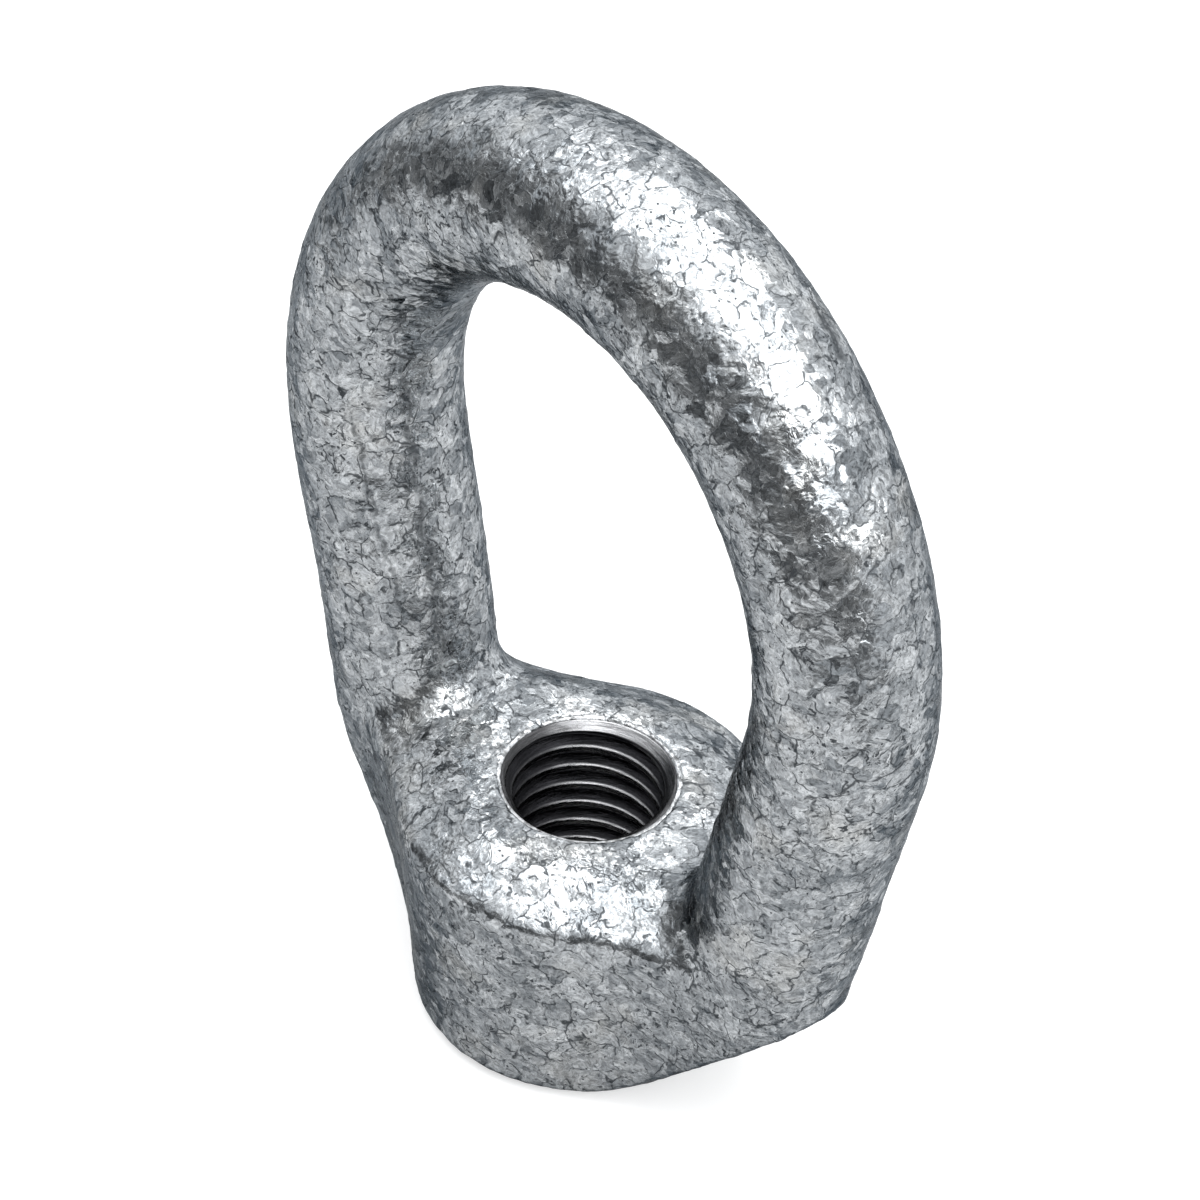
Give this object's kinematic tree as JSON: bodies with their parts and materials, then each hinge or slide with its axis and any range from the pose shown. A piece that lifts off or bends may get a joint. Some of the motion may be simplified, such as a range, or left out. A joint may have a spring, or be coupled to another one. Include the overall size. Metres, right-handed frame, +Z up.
{
  "type": "lifting eye nut",
  "caption": "Forged lifting eye nut: an egg-shaped eye of round bar on a tapered boss, with a threaded hole up through the boss for a bolt or rod end.",
  "frame": {"origin": "middle of the boss's flat bottom, on the axis of the threaded hole", "axes": "+Z up through the threaded hole to the crown of the eye, +X across the eye, +Y through the eye's opening"},
  "size_m": [0.0782, 0.0352, 0.0977],
  "materials": {
    "zinc": "hot-dip galvanised forging, mottled grey and uneven",
    "bare_steel": "bare steel of the cut thread, dark with bright crests"
  },
  "bodies": {
    "root": {"eye_nut": "zinc"}
  },
  "joints": []
}
